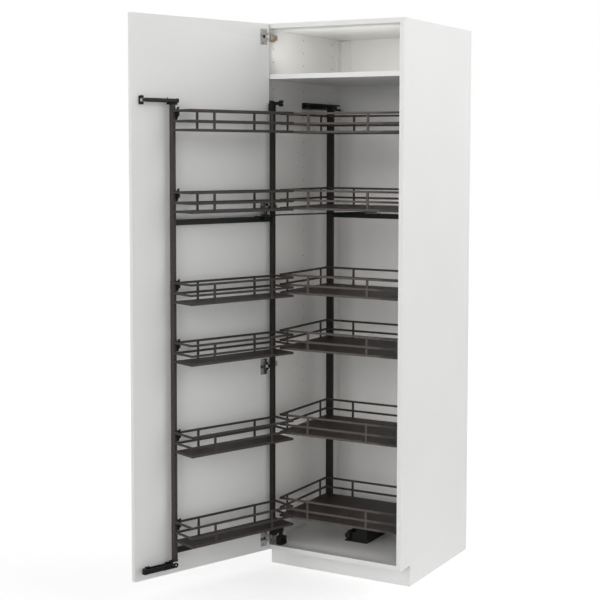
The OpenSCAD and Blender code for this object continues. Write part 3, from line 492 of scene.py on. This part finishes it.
def repeat(bm, places):
    """Sets a copy of the whole shape at each place, and takes away the shape itself."""
    first = bm.verts[:]
    shape = first + bm.edges[:] + bm.faces[:]
    for place in places:
        copy = bmesh.ops.duplicate(bm, geom=shape)["geom"]
        verts = [item for item in copy if isinstance(item, bmesh.types.BMVert)]
        bmesh.ops.transform(bm, matrix=place, verts=verts)
    bmesh.ops.delete(bm, geom=first, context="VERTS")


def add_piece(name, bm, finish, body):
    """Closes a shape, turns its faces outward, and lets it ride on a body with one of the finishes."""
    bmesh.ops.remove_doubles(bm, verts=bm.verts, dist=SEAM)
    bmesh.ops.recalc_face_normals(bm, faces=bm.faces)
    for face in bm.faces:
        face.smooth = True
    mesh = bpy.data.meshes.new(name)
    bm.to_mesh(mesh)
    bm.free()
    mesh.set_sharp_from_angle(angle=SMOOTH_ANGLE)
    mesh.materials.append(bpy.data.materials[finish])
    piece = bpy.data.objects.new(name, mesh)
    bpy.context.scene.collection.objects.link(piece)
    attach(piece, body)


def add_screws(name, body, radius, height, places):
    """Adds a group of like screw heads as one piece."""
    bm = bmesh.new()
    cross_screw(bm, radius, height)
    repeat(bm, places)
    add_piece(name, bm, "zinc_plate", body)


def facing_in(s, d, z):
    """Place on the open door's inner face, looking away from the door."""
    return DOOR_FRAME @ Matrix.Translation((s, d, z)) @ Matrix.Rotation(-math.pi / 2, 4, "X")


def facing_right(x, y, z):
    """Place on a face that looks to the right."""
    return Matrix.Translation((x, y, z)) @ Matrix.Rotation(math.pi / 2, 4, "Y")


class LARDER_OT_hinge_screws(Operator):
    """Makes the screws of the cups' flanges and the two screws in each hinge arm"""
    bl_idname = "larder.hinge_screws"
    bl_label = "Make the hinge screws"

    def execute(self, context):
        radius = context.scene.larder_sizes.screw_radius
        add_screws("cup_screws", "door", CUP_HEAD_SHARE * radius, CUP_HEAD_HEIGHT,
                   [facing_in(CUP_SCREW.x, CUP_SCREW.y, height + side * CUP_SCREW.z)
                    for height in HINGE_HEIGHTS for side in (-1, 1)])
        add_screws("arm_screws", "carcass", radius, SLOT_HEAD_HEIGHT,
                   [facing_right(ARM_FACE, SLOT_SCREW_Y, height) for height in HINGE_HEIGHTS])
        add_screws("clamp_screws", "carcass", CLAMP_HEAD_SHARE * radius, CLAMP_HEAD_HEIGHT,
                   [facing_right(ARM_FACE - CLAMP_SCREW_DEPTH, CLAMP_SCREW_Y, height)
                    for height in HINGE_HEIGHTS])
        return {"FINISHED"}


class LARDER_OT_post_plugs(Operator):
    """Makes the moulded plugs that close the inner posts' ends"""
    bl_idname = "larder.post_plugs"
    bl_label = "Make the post plugs"

    def execute(self, context):
        wall = context.scene.larder_sizes.cap_wall
        flange, crown = 2 * wall, 2.6 * wall
        flange_rounding, shank_rounding = 0.5 * wall, 0.3 * wall
        bm = bmesh.new()
        for node in ("inner_left_post", "inner_right_post"):
            low, high = (Vector(corner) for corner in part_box(node))
            for foot, head in ((high.z, high.z + flange), (low.z - flange, low.z)):
                block(bm, Vector((low.x, low.y, foot)) - PLUG_FLANGE,
                      Vector((high.x, high.y, head)) + PLUG_FLANGE, flange_rounding)
            block(bm, Vector((low.x, low.y, high.z - PLUG_DEPTH)) + PLUG_INSET,
                  Vector((high.x, high.y, high.z + crown)) - PLUG_INSET, shank_rounding)
        add_piece("post_plugs", bm, "moulded_plastic", "inner_rack")
        return {"FINISHED"}


class LARDER_OT_head_cap(Operator):
    """Makes the moulded cap over the head of the door rack's rear post"""
    bl_idname = "larder.head_cap"
    bl_label = "Make the post's head cap"

    def execute(self, context):
        wall = context.scene.larder_sizes.cap_wall
        cap_rounding, collar_rounding = 2 * wall, 0.5 * wall
        collar = 3 * wall
        inset = Vector((wall, wall, 0.0))
        low, high = HEAD_CAP
        bm = bmesh.new()
        block(bm, low, high, cap_rounding)
        block(bm, Vector((low.x, low.y, low.z - collar)) + inset,
              Vector((high.x, high.y, low.z + wall)) - inset, collar_rounding)
        bmesh.ops.transform(bm, matrix=DOOR_FRAME, verts=bm.verts)
        add_piece("head_cap", bm, "moulded_plastic", "door_rack")
        return {"FINISHED"}


class LARDER_OT_spool_sleeve(Operator):
    """Makes the bright grooved sleeve round the neck of the top guide's spool"""
    bl_idname = "larder.spool_sleeve"
    bl_label = "Make the spool's sleeve"

    def execute(self, context):
        inner, outer, half, lip = SLEEVE_INNER, SLEEVE_OUTER, SLEEVE_HALF, SLEEVE_LIP
        bm = bmesh.new()
        turned(bm, [(inner, -half), (outer - lip, -half), (outer, lip - half), (outer, -lip),
                    (outer - lip / 2, 0.0), (outer, lip), (outer, half - lip), (outer - lip, half),
                    (inner, half)])
        repeat(bm, [DOOR_FRAME @ Matrix.Translation(SPOOL)])
        add_piece("spool_sleeve", bm, "zinc_plate", "door")
        return {"FINISHED"}


class LARDER_OT_pivot_screws(Operator):
    """Makes the screws of the top pivot's bracket and the cap on its eye"""
    bl_idname = "larder.pivot_screws"
    bl_label = "Make the pivot's screws and cap"

    def execute(self, context):
        add_screws("pivot_screws", "carcass", PIVOT_HEAD_RADIUS, PIVOT_HEAD_HEIGHT,
                   [facing_right(LEFT_WALL + PIVOT_PLATE, y, PIVOT_SCREW_Z) for y in PIVOT_SCREW_YS])
        bm = bmesh.new()
        turned(bm, PIVOT_CAP, CAP_STEPS)
        repeat(bm, [Matrix.Translation(PIVOT)])
        add_piece("pivot_cap", bm, "zinc_plate", "carcass")
        return {"FINISHED"}


class LARDER_OT_runner_screws(Operator):
    """Makes the screws that hold the lower runner's foot to the floor panel"""
    bl_idname = "larder.runner_screws"
    bl_label = "Make the lower runner's screws"

    def execute(self, context):
        foot_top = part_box("lower_runner")[0][2] + RUNNER_FOOT
        add_screws("runner_screws", "carcass", RUNNER_HEAD_RADIUS, RUNNER_HEAD_HEIGHT,
                   [Matrix.Translation((RUNNER_SCREW_X, y, foot_top)) for y in RUNNER_SCREW_YS])
        return {"FINISHED"}


class LARDER_OT_bracket_covers(Operator):
    """Makes the white covers over the wall brackets in the upper compartment's back corners"""
    bl_idname = "larder.bracket_covers"
    bl_label = "Make the bracket covers"

    def execute(self, context):
        wall = context.scene.larder_sizes.cover_wall
        rounding = 0.2 * wall
        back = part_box("wall_brackets")[1][1]
        outline = [(0, 0), (COVER_WIDE, 0), (COVER_WIDE, -wall), (wall, -wall), (wall, -COVER_DEEP),
                   (0, -COVER_DEEP)]
        bm = bmesh.new()
        foot = bm.faces.new([bm.verts.new((LEFT_WALL + x, back + y, COVER_FOOT)) for x, y in outline])
        raised = bmesh.ops.extrude_face_region(bm, geom=[foot])["geom"]
        bmesh.ops.translate(bm, vec=(0, 0, COVER_HEAD - COVER_FOOT),
                            verts=[item for item in raised if isinstance(item, bmesh.types.BMVert)])
        bmesh.ops.bevel(bm, geom=bm.edges[:], offset=rounding, segments=2, profile=0.5, affect="EDGES",
                        material=-1)
        bmesh.ops.mirror(bm, geom=bm.verts[:] + bm.edges[:] + bm.faces[:], axis="X", merge_dist=0.0)
        add_piece("bracket_covers", bm, "white_coat", "carcass")
        return {"FINISHED"}


# ---- Stage ----

def soft_light(name, strength, towards, spread):
    """An even light that falls everywhere in one direction, soft by its spread in degrees."""
    data = bpy.data.lights.new(name, "SUN")
    data.angle = math.radians(spread)
    data.energy = strength
    light = bpy.data.objects.new(name, data)
    light.rotation_euler = Vector(towards).to_track_quat("-Z", "Y").to_euler()
    bpy.context.scene.collection.objects.link(light)


def fill_light(name, power, place, width, height, spread):
    """A soft rectangular lamp that shines into the cabinet, within a spread in degrees, and isn't seen."""
    data = bpy.data.lights.new(name, "AREA")
    data.shape = "RECTANGLE"
    data.size = width
    data.size_y = height
    data.spread = math.radians(spread)
    data.color = FILL_COLOUR
    data.energy = power
    light = bpy.data.objects.new(name, data)
    light.location = place
    light.rotation_euler = Vector((0.0, 1.0, 0.0)).to_track_quat("-Z", "Z").to_euler()
    light.visible_camera = False
    light.visible_glossy = False
    bpy.context.scene.collection.objects.link(light)


def floor_material(lift):
    """White floor that keeps the object's shadow and shows white to the camera."""
    material, tree, shader, _ = new_material("studio_floor", FLOOR_WHITE, roughness=0.9, gloss=0.0)
    shader.inputs["Emission Color"].default_value = (1.0, 1.0, 1.0, 1.0)
    ray = tree.nodes.new("ShaderNodeLightPath")
    vary(tree, ray.outputs["Is Camera Ray"], 0.0, lift, shader.inputs["Emission Strength"])
    return material


class LARDER_OT_stage(Operator):
    """Builds the floor, the lights, the world and the camera"""
    bl_idname = "larder.stage"
    bl_label = "Set up the studio"

    def execute(self, context):
        scene = context.scene
        stage = scene.larder_stage
        self.floor(scene, stage)
        soft_light("front_light", stage.front_level, **FRONT_LIGHT)
        soft_light("side_light", stage.side_level, **SIDE_LIGHT)
        fill_light("upper_fill", stage.shelf_level, **UPPER_FILL)
        fill_light("lower_fill", stage.rack_level, **LOWER_FILL)
        self.world(scene, stage)
        scene.view_settings.view_transform = "Standard"
        self.camera(scene, stage)
        return {"FINISHED"}

    def floor(self, scene, stage):
        """Lays a wide floor under the cabinet."""
        mesh = bpy.data.meshes.new("studio_floor")
        bm = bmesh.new()
        bmesh.ops.create_grid(bm, x_segments=1, y_segments=1, size=FLOOR_REACH)
        bm.to_mesh(mesh)
        bm.free()
        mesh.materials.append(floor_material(stage.floor_lift))
        floor = bpy.data.objects.new("studio_floor", mesh)
        scene.collection.objects.link(floor)

    def world(self, scene, stage):
        """Fills the room with even light; the camera and reflections see plain white."""
        world = bpy.data.worlds.new("studio")
        scene.world = world
        world.use_nodes = True
        tree = world.node_tree
        ray = tree.nodes.new("ShaderNodeLightPath")
        background = tree.nodes["Background"]
        background.inputs["Color"].default_value = (1.0, 1.0, 1.0, 1.0)
        seen = tree.nodes.new("ShaderNodeMath")
        seen.operation = "MAXIMUM"
        tree.links.new(ray.outputs["Is Camera Ray"], seen.inputs[0])
        tree.links.new(ray.outputs["Is Glossy Ray"], seen.inputs[1])
        vary(tree, seen.outputs["Value"], stage.world_level, 1.0, background.inputs["Strength"])

    def camera(self, scene, stage):
        """Stands the camera in its place, turned by its heading, pitch and roll."""
        heading, pitch, roll = stage.camera_turn
        ahead = Vector((-math.sin(heading) * math.cos(pitch), math.cos(heading) * math.cos(pitch),
                        math.sin(pitch)))
        across = ahead.cross(Vector((0, 0, 1))).normalized()
        up = across.cross(ahead)
        right = across * math.cos(roll) + up * math.sin(roll)
        top = up * math.cos(roll) - across * math.sin(roll)
        turn = Matrix((right, top, -ahead)).transposed().to_4x4()
        data = bpy.data.cameras.new("camera")
        data.sensor_width = SENSOR_WIDTH
        data.lens = stage.lens
        data.shift_x = stage.shift_x
        data.shift_y = stage.shift_y
        data.clip_end = VIEW_REACH
        camera = bpy.data.objects.new("camera", data)
        camera.matrix_world = Matrix.Translation(stage.camera_place) @ turn
        scene.collection.objects.link(camera)
        scene.camera = camera


# ---- Panel and registration ----

OPERATORS = [LARDER_OT_finishes, LARDER_OT_hinge_screws, LARDER_OT_post_plugs, LARDER_OT_head_cap,
             LARDER_OT_spool_sleeve, LARDER_OT_pivot_screws, LARDER_OT_runner_screws,
             LARDER_OT_bracket_covers, LARDER_OT_stage]


class LARDER_PT_panel(Panel):
    """Lists the steps that dress the cabinet"""
    bl_idname = "LARDER_PT_panel"
    bl_label = "Larder cabinet"
    bl_space_type = "VIEW_3D"
    bl_region_type = "UI"
    bl_category = "Larder"

    def draw(self, context):
        for group in (context.scene.larder_finish, context.scene.larder_sizes, context.scene.larder_stage):
            for name in group.__annotations__:
                self.layout.prop(group, name)
        for operator in OPERATORS:
            self.layout.operator(operator.bl_idname)


CLASSES = [LarderFinish, LarderSizes, LarderStage] + OPERATORS + [LARDER_PT_panel]


def register():
    for cls in CLASSES:
        bpy.utils.register_class(cls)
    bpy.types.Scene.larder_finish = PointerProperty(type=LarderFinish)
    bpy.types.Scene.larder_sizes = PointerProperty(type=LarderSizes)
    bpy.types.Scene.larder_stage = PointerProperty(type=LarderStage)


def unregister():
    del bpy.types.Scene.larder_stage
    del bpy.types.Scene.larder_sizes
    del bpy.types.Scene.larder_finish
    for cls in reversed(CLASSES):
        bpy.utils.unregister_class(cls)


def main():
    """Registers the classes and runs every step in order."""
    register()
    bpy.ops.larder.finishes()
    bpy.ops.larder.hinge_screws()
    bpy.ops.larder.post_plugs()
    bpy.ops.larder.head_cap()
    bpy.ops.larder.spool_sleeve()
    bpy.ops.larder.pivot_screws()
    bpy.ops.larder.runner_screws()
    bpy.ops.larder.bracket_covers()
    bpy.ops.larder.stage()
    bpy.context.view_layer.update()


if __name__ == "__main__":
    main()
